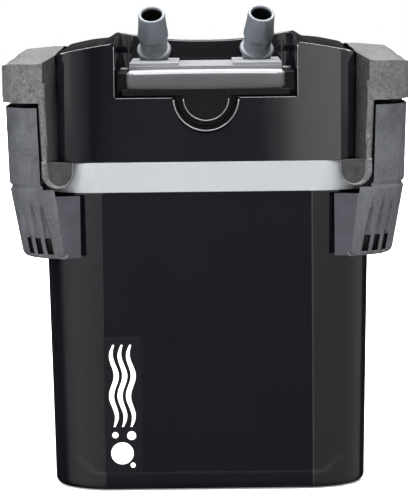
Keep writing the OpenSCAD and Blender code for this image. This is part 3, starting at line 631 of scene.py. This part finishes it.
def tub():
    """Drafted glossy tub with a rounded foot, a stepped line low on its front, and a plain rim."""
    verts = []
    zs = [0.85, 1.1, 1.7, 2.6, 3.8, 5.5, 8.0, 10.0, 10.9, 11.25, 11.6, 12.0, 12.6, 13.5, 14.7, 16.0, 17.5, 19,
          20.5, 24, 30, 45, 70, 100, 130, 160, 176, TUB_H]
    for z in zs:
        hx, hy = tub_half(z)
        r = lerp(29.5, 31.0, z / TUB_H)
        if z < 4.2:
            k = 3.6 * (1 - math.sqrt(max(0.0, 1 - ((4.2 - z) / 3.6) ** 2)))
            hx, hy, r = hx - k, hy - k, r - k
        row = round_rect(hx, hy, r)
        # closer columns on the front where it creases
        flat = hx - r
        xs = [-flat, *CREASE_BAND] + [lerp(-58, 58, i / 19) for i in range(20)]
        xs += [-x for x in reversed(CREASE_BAND)] + [(62.0 + flat) / 2]
        row[:SIDE_NX] = [(x, -hy) for x in xs]
        for x, y in row:
            if y < 0:
                past = max(0.0, abs(x) - CREASE_X)
                y += 0.2 * past * (1 - past / (hx - CREASE_X))
                step_z = 11.4 + 8.5 * smooth((max(abs(x) - 66, 0) / 13))
                y -= 0.42 * smooth((step_z - z) / 0.8) * smooth((80.5 - abs(x)) / 5)
            verts.append(mm(x, y, z))
    n = len(verts) // len(zs)
    faces = sheet_faces(len(zs), n, closed=True)
    faces.append(tuple(range(n)))
    base = len(verts)
    inner = [(TUB_H, 3.0), (150, 3.2), (20, 3.4), (5, 5.0)]  # height and wall, going down
    for z, wall in inner:
        hx, hy = tub_half(z)
        verts += [mm(x, y, z) for x, y in round_rect(hx - wall, hy - wall, 27)]
    faces += [tuple(base + i for i in f) for f in sheet_faces(len(inner), n, closed=True)]
    top = (len(zs) - 1) * n
    faces += [(top + i, top + (i + 1) % n, base + (i + 1) % n, base + i) for i in range(n)]
    faces.append(tuple(base + (len(inner) - 1) * n + i for i in range(n)))
    piece("tub_shell", verts, faces, "gloss", "filter", ("canister",))


tub()

# ------------------------------------------------------------------ label: bubbles and ripples, no lettering


LABEL_X = -50.75
LABEL_FACES = (0.42, 0.30)  # how far the print's front and back stand off the tub, in mm


def flat_shape(name, outline):
    """A thin raised shape on the tub's front, from an outline of (x, z)."""
    verts = [mm(x, -tub_half(z)[1] - off, z) for off in LABEL_FACES for x, z in outline]
    n = len(outline)
    faces = [tuple(range(n)), tuple(range(2 * n - 1, n - 1, -1))]
    faces += [(i, (i + 1) % n, n + (i + 1) % n, n + i) for i in range(n)]
    piece(name, verts, faces, "print", "filter", (), smooth=False)


for k, off in enumerate((-5.4, -0.4, 4.6)):
    out, back = [], []
    for i in range(41):
        z = lerp(39.0, 88.0, i / 40)
        x = LABEL_X + off + 1.5 * math.sin((z - 39) / 49 * 4 * math.pi)
        w = 1.5 * math.sin(math.pi * clamp(i / 40, 0.02, 0.98)) ** 0.35
        out.append((x - w, z))
        back.append((x + w, z))
    flat_shape(f"label_ripple_{k}", out + back[::-1])
for k, (dx, z, r) in enumerate(((-1.0, 23.0, 6.6), (4.6, 33.6, 2.6), (-5.0, 34.0, 1.8), (5.2, 15.8, 1.5))):
    turns = [a * math.pi / 24 for a in range(48)]
    flat_shape(f"label_bubble_{k}", [(LABEL_X + dx + r * math.cos(a), z + r * math.sin(a)) for a in turns])

# ------------------------------------------------------------------ hose tails


TAIL_N = 56  # points round a tail
TAIL_LEAN = 38  # degrees forward
TAIL_AT = 31.0, -25.0, 258.0
# turned profiles of (radius, height) in mm, upright or along the leaning tail
COLLAR = [(7.9, -9.3), (7.9, -5.9), (8.7, -5.7), (8.8, -5.3), (8.8, -0.6), (8.7, 0.3)]
BARB = [(8.8, -1.4), (9.9, -1.0), (10.25, -0.4), (10.3, 0.9), (10.0, 1.5), (8.6, 1.8), (8.2, 2.2), (8.1, 9.0),
        (8.3, 10.0), (9.0, 10.9), (9.15, 11.5), (9.15, 13.2), (9.0, 14.4), (8.6, 18.5), (8.2, 24.0),
        (8.02, 27.2), (7.85, 27.75), (7.5, 28.0), (6.75, 28.0), (6.35, 27.7), (6.2, 27.0), (6.2, 4.0),
        (5.2, 3.0), (5.2, -3.0)]
BALL = [(8.7 * math.cos(b), 8.6 * math.sin(b) - 0.2) for b in (math.pi / 2 * j / 12 for j in range(13))]
BORE = [(6.17, 26.6), (6.12, 26.0), (6.12, 4.6), (5.6, 4.1), (1.0, 4.0)]


def hose_tail(side, swivel, body, node):
    """A turned barb on a round collar: thin bright lip, dark bore lined with a matte black sheet of painted
    shade, soft crest and waisted root.
    """
    px, py, pz = TAIL_AT
    rot = (Matrix.Rotation(math.radians(swivel * side), 3, "Z")
           @ Matrix.Rotation(math.radians(TAIL_LEAN), 3, "X"))

    def rings(profile, leaning):
        pts = []
        for r, t in profile:
            for a in (2 * math.pi * i / TAIL_N for i in range(TAIL_N)):
                v = Vector((r * math.cos(a), r * math.sin(a), t))
                v = rot @ v if leaning else v
                pts.append(mm(side * px + v.x, py + v.y, pz + v.z))
        return pts

    verts, faces = [], []
    for profile, leaning in ((COLLAR, False), (BARB, True), (BALL, False)):
        base = len(verts)
        verts += rings(profile, leaning)
        faces += [tuple(base + i for i in f) for f in sheet_faces(len(profile), TAIL_N, closed=True)]
    piece(f"{node}_barb", verts, faces, "tail", body, (node,))
    # painted shade: a matte black sheet lining the bore and closing it off
    faces = sheet_faces(len(BORE), TAIL_N, closed=True)
    piece(f"{node}_bore_shade_sheet", rings(BORE, True), faces, "bore", body, ())


hose_tail(-1, 3, "inlet_tail", "inlet_elbow")
hose_tail(1, 9, "outlet_tail", "outlet_elbow")

# ------------------------------------------------------------------ tap and head


GRIP_RINGS = [(-80.0, 0.6), (-80.5, 0.0), (-86.6, 0.0), (-87.6, 0.22), (-88.5, 0.72), (-89.2, 1.4),
              (-89.65, 2.2), (-89.85, 3.2), (-89.95, 4.2)]  # y and inset of each ring, back to front
GRIP_HX, GRIP_Z, GRIP_R, GRIP_SAG = 46.2, (237.3, 248.4), 3.2, 0.9
SKY, DOWN = 400.0, Vector((0, 0, -1))  # height in mm that surfaces are felt from, and the way


def grip_bar():
    """The tap's bar: a rounded outline lofted forward through rings, a little fuller at the middle."""
    cz, hz = sum(GRIP_Z) / 2, (GRIP_Z[1] - GRIP_Z[0]) / 2
    fx, fz = GRIP_HX - GRIP_R, hz - GRIP_R
    outline = []
    for qx, qz, a0 in ((1, 1, 0), (-1, 1, 90), (-1, -1, 180), (1, -1, 270)):
        for i in range(9):
            a = math.radians(a0 + 90 * i / 8)
            outline.append((qx * fx + GRIP_R * math.cos(a), qz * fz + GRIP_R * math.sin(a)))
        if a0 in (0, 180):
            outline += [(qx * lerp(1, -1, i / 24) * fx, qz * hz) for i in range(1, 24)]
    verts = []
    for y, inset in GRIP_RINGS:
        for x, z in outline:
            bow = GRIP_SAG * (1 - (x / GRIP_HX) ** 2)
            rise = (bow if z > 0 else -bow) * 0.5
            verts.append(mm(x * (GRIP_HX - inset) / GRIP_HX, y - 0.35 * bow, cz + z * (hz - inset) / hz + rise))
    ob = piece("grip_bar", verts, lofted(len(GRIP_RINGS), len(outline)), "grip", "tap_lever", ("tap_grip",))
    # painted highlight: the bar's upward-facing faces take the lighter tap material, standing in for the light
    # on its top
    second_mat(ob, "tap", lambda p: p.normal.z > 0.45)


grip_bar()


def surface(ob):
    """Height of an object's top over a point, both in mm, as a function."""
    bvh = BVHTree.FromObject(ob, bpy.context.evaluated_depsgraph_get())
    return lambda x, y: bvh.ray_cast(Vector(mm(x, y, SKY)), DOWN)[0].z / MM


def recess_rim():
    """Raised saddle rim round the tap recess, laid on the CAD cover and fading into its dome."""
    cover = surface(NODES["head_cover"])
    # points of the path and the way outward: up the left side, round the corner, across and down the right
    path = [(-53, lerp(-88, 17, i / 26), -1, 0) for i in range(27)]
    path += [(-45 - 8 * math.cos(a), 17 + 8 * math.sin(a), -math.cos(a), math.sin(a))
             for a in (math.pi / 2 * i / 8 for i in range(1, 8))]
    mirrored = [(-x, y, -nx, ny) for x, y, nx, ny in reversed(path)]
    path += [(lerp(-45, 45, i / 30), 25, 0, 1) for i in range(31)] + mirrored
    # distance outward, height over the cover, and share of the rise
    section = [(-0.15, -7, 0), (-0.15, -1.1, 1), (0.15, -0.35, 1), (0.8, 0, 1), (2.5, 0, 0.97), (5, 0, 0.6),
               (8, 0.02, 0.2), (11, 0.02, 0), (11.5, -0.4, 0)]
    verts = []
    for x, y, nx, ny in path:
        saddle = 262.0 + 6.0 * (min(1.0, abs(x) / 53) ** 2.4)
        rise = lerp(3.4 * smooth((y + 90) / 26), saddle - cover(x + nx * 0.6, y + ny * 0.6), smooth(ny))
        for d, dz, k in section:
            e = max(d, 0.6)
            verts.append(mm(x + nx * d, y + ny * d, cover(x + nx * e, y + ny * e) + dz + k * rise))
    faces = sheet_faces(len(path), len(section))
    return piece("recess_rim", verts, faces, "gloss_head", "filter", ())


RIM = recess_rim()


def bead(name, pts, r, body="filter"):
    """A thin rounded bead along a line of points given in mm, in a light material that paints a highlight on it.
    """
    verts = []
    n = 10
    for i, p in enumerate(pts):
        a, b = Vector(pts[max(0, i - 1)]), Vector(pts[min(len(pts) - 1, i + 1)])
        t = (b - a).normalized()
        u = t.cross(Vector((0, 1, 0)))
        u = u.normalized() if u.length > 0.01 else Vector((0, 0, 1))
        v = t.cross(u)
        for q in (2 * math.pi * j / n for j in range(n)):
            verts.append(mm(*(Vector(p) + (u * math.cos(q) + v * math.sin(q)) * r)))
    piece(name, verts, lofted(len(pts), n), "edge", body, ())


def scoop_line(r, y):
    """Points of an arc under the scoop's middle, open at the top."""
    return [(r * math.cos(a), y, 232.6 + r * math.sin(a))
            for a in (math.radians(lerp(183, 357, i / 48)) for i in range(49))]


def edge_beads():
    """Painted highlights as light beads on the moulding edges: the scoop, the head's front top edge, the recess
    corners and lip, the saddle.
    """
    bead("scoop_outer_bead", scoop_line(18.9, -92.7), 0.42)
    bead("scoop_inner_bead", scoop_line(13.2, -89.9), 0.36, "tap_lever")
    cover, rim = surface(NODES["head_cover"]), surface(RIM)
    for s, tag in ((-1, "left"), (1, "right")):
        xs = [s * lerp(84.0, 54.6, i / 20) for i in range(21)]
        bead(f"head_{tag}_brow", [(x, -89.9, cover(x, -88.6) - 0.25) for x in xs], 0.42)
        jamb_top = cover(s * 54.2, -88.6) - 1.6
        bead(f"recess_{tag}_jamb", [(s * 53.25, -90.75, lerp(233.2, jamb_top, i / 16)) for i in range(17)], 0.3)
        bead(f"recess_{tag}_lip", [(s * lerp(19.6, 52.8, i / 16), -90.6, 232.45) for i in range(17)], 0.36)
    xs = [lerp(-43.5, 43.5, i / 48) for i in range(49)]
    bead("saddle_edge", [(x, 25.9, rim(x, 25.9)) for x in xs], 0.5)


edge_beads()


def foam_pad(node, mat):
    """A cut foam sheet from the CAD node's shape: crowned faces, sides drawn in, and soft corners."""
    src = NODES[node]
    ob = bpy.data.objects.new(f"{node}_pad", src.data.copy())
    bpy.context.scene.collection.objects.link(ob)
    ob.matrix_world = src.matrix_world.copy()
    rm = ob.modifiers.new("grid", "REMESH")
    rm.mode = "VOXEL"
    rm.voxel_size = 4 * MM
    sm = ob.modifiers.new("soft", "SMOOTH")
    sm.factor, sm.iterations = 0.5, 3
    bpy.context.view_layer.update()
    me = bpy.data.meshes.new_from_object(ob.evaluated_get(bpy.context.evaluated_depsgraph_get()))
    mw = ob.matrix_world
    pts = [mw @ v.co for v in me.vertices]
    faces = [tuple(p.vertices) for p in me.polygons]
    bpy.data.objects.remove(ob)
    z0, z1 = min(p.z for p in pts), max(p.z for p in pts)
    half = max(abs(p.x) for p in pts)
    for p in pts:
        t = (2 * p.z - z0 - z1) / (z1 - z0)
        r = min(1.0, math.hypot(p.x, p.y) / (half * 1.25))
        draw = 1 - 0.012 * (1 - t * t)
        p.x, p.y = p.x * draw, p.y * draw
        p.z -= t * 1.6 * MM * r ** 3
    pad = piece(f"{node}_pad", pts, faces, mat, "filter", (node,))
    sub = pad.modifiers.new("fine", "SUBSURF")
    sub.levels = sub.render_levels = 1


foam_pad("foam_coarse", "foam_blue")
foam_pad("foam_fine", "foam_white")

# ------------------------------------------------------------------ studio


def studio():
    """The surroundings by direction: soft boxes left and right, dark cards behind them, a dark room in front."""
    w = bpy.data.worlds.new("studio")
    bpy.context.scene.world = w
    w.use_nodes = True
    nt = w.node_tree
    nt.nodes.clear()
    out = nt.nodes.new("ShaderNodeOutputWorld")
    co = nt.nodes.new("ShaderNodeTexCoord")
    sep = nt.nodes.new("ShaderNodeSeparateXYZ")
    nt.links.new(co.outputs["Generated"], sep.inputs[0])

    def op(kind, *values):
        return maths(nt, kind, *values)

    x, y, z = sep.outputs
    az = op("ARCTAN2", x, op("MULTIPLY", y, -1.0))
    az = op("ADD", op("DIVIDE", az, 2 * math.pi), 0.5)

    def at(deg):
        return 0.5 + deg / 360

    high = op("ADD", op("MULTIPLY", z, 0.5), 0.5)
    round_about = ramp(nt, az, [
        (0.0, grey(0.05)), (at(-168), grey(0.05)), (at(-150), grey(0.03)), (at(-98), grey(0.02)),
        (at(-90), grey(0.30)), (at(-80), grey(0.9)), (at(-58), grey(1.35)), (at(-34), grey(1.2)),
        (at(-12), grey(0.8)), (at(-9.2), grey(0.78)), (at(-8.9), grey(0.0)), (at(-7.3), grey(0.0)),
        (at(-6.9), grey(0.22)), (at(-3), grey(0.26)), (at(0), grey(0.24)), (at(3.6), grey(0.2)),
        (at(4.6), grey(0.32)), (at(5.6), grey(0.8)), (at(7.2), grey(2.2)), (at(12), grey(2.9)),
        (at(16), grey(0.85)), (at(60), grey(0.85)), (at(104), grey(0.95)), (at(118), grey(0.6)),
        (at(128), grey(0.03)), (at(158), grey(0.03)), (at(170), grey(0.05)), (1.0, grey(0.05))])
    up = ramp(nt, high, [(0.0, grey(0.15)), (0.40, grey(0.6)), (0.5, grey(1)), (1.0, grey(1))])
    top = ramp(nt, high, [(0.0, grey(0)), (0.72, grey(0)), (0.86, grey(1.6)), (1.0, grey(2.2))])
    strip = ramp(nt, high, [
        (0.0, grey(0)), (0.88, grey(0)), (0.90, grey(1)), (0.96, grey(1)), (0.975, grey(0)), (1.0, grey(0))])
    path = nt.nodes.new("ShaderNodeLightPath")
    strip = op("MULTIPLY", strip, op("MULTIPLY", op("SUBTRACT", 1.0, path.outputs["Is Diffuse Ray"]), 14))
    mul = op("ADD", op("ADD", op("MULTIPLY", round_about, up), top), strip)
    light = nt.nodes.new("ShaderNodeBackground")
    nt.links.new(mul, light.inputs["Color"])
    side_dim = op("MULTIPLY", path.outputs["Is Diffuse Ray"], op("ADD", 0.62, op("MULTIPLY", x, 0.2)))
    nt.links.new(op("SUBTRACT", 1.0, side_dim), light.inputs["Strength"])
    back = nt.nodes.new("ShaderNodeBackground")
    back.inputs["Color"].default_value = (1, 1, 1, 1)
    back.inputs["Strength"].default_value = 1.0
    mix = nt.nodes.new("ShaderNodeMixShader")
    nt.links.new(path.outputs["Is Camera Ray"], mix.inputs[0])
    nt.links.new(light.outputs[0], mix.inputs[1])
    nt.links.new(back.outputs[0], mix.inputs[2])
    nt.links.new(mix.outputs[0], out.inputs[0])


def area(name, at, to, size, power):
    """A soft light that neither the camera nor the reflections see."""
    d = bpy.data.lights.new(name, "AREA")
    d.shape = "RECTANGLE"
    d.size, d.size_y = size
    d.energy = power
    o = bpy.data.objects.new(name, d)
    bpy.context.scene.collection.objects.link(o)
    o.location = at
    o.rotation_euler = (Vector(to) - Vector(at)).to_track_quat("-Z", "Y").to_euler()
    o.visible_camera = False
    o.visible_glossy = False


studio()
area("key_left", (-1.1, -1.3, 1.0), (0, 0, 0.15), (0.25, 0.5), 21)
area("fill_right", (1.5, -0.9, 0.5), (0, 0, 0.15), (0.4, 0.8), 2.5)
area("over", (0, 0.1, 1.4), (0, 0, 0.2), (0.9, 0.9), 16)

floor_mesh = bpy.data.meshes.new("floor")
floor_mesh.from_pydata([(-4, -4, 0), (4, -4, 0), (4, 4, 0), (-4, 4, 0)], [], [(0, 1, 2, 3)])
floor = bpy.data.objects.new("floor", floor_mesh)
bpy.context.scene.collection.objects.link(floor)
fm, fnt, fsh, fco = tree("floor")
fnt.links.new(ramp(fnt, noise(fnt, fco, 3, 2), [(0.3, grey(0.93)), (0.7, grey(0.96))]), fsh.inputs["Base Color"])
fsh.inputs["Roughness"].default_value = 0.9
fsh.inputs["Specular IOR Level"].default_value = 0.0
fsh.inputs["Emission Color"].default_value = (1, 1, 1, 1)
fsh.inputs["Emission Strength"].default_value = 0.25
floor_mesh.materials.append(fm)
floor.visible_glossy = False

# the photo's camera: place, tilt down and roll in radians, focal length in pixels of a 496 px high frame
CAM_X, CAM_Y, CAM_Z = -2.19 * MM, -1.5, 314.8 * MM
PITCH, ROLL, FOCAL_PX, PHOTO_H, SENSOR = 0.1199, 0.0115, 2433.0, 496, 36.0
cam_data = bpy.data.cameras.new("camera")
cam_data.sensor_fit = "VERTICAL"
cam_data.sensor_height = SENSOR
cam_data.lens = FOCAL_PX * SENSOR / PHOTO_H
cam_data.clip_start = 0.05
cam = bpy.data.objects.new("camera", cam_data)
bpy.context.scene.collection.objects.link(cam)
cam.matrix_world = (Matrix.Translation((CAM_X, CAM_Y, CAM_Z)) @ Matrix.Rotation(math.pi / 2 - PITCH, 4, "X")
                    @ Matrix.Rotation(-ROLL, 4, "Z"))
bpy.context.scene.camera = cam
bpy.context.scene.view_settings.view_transform = "Standard"
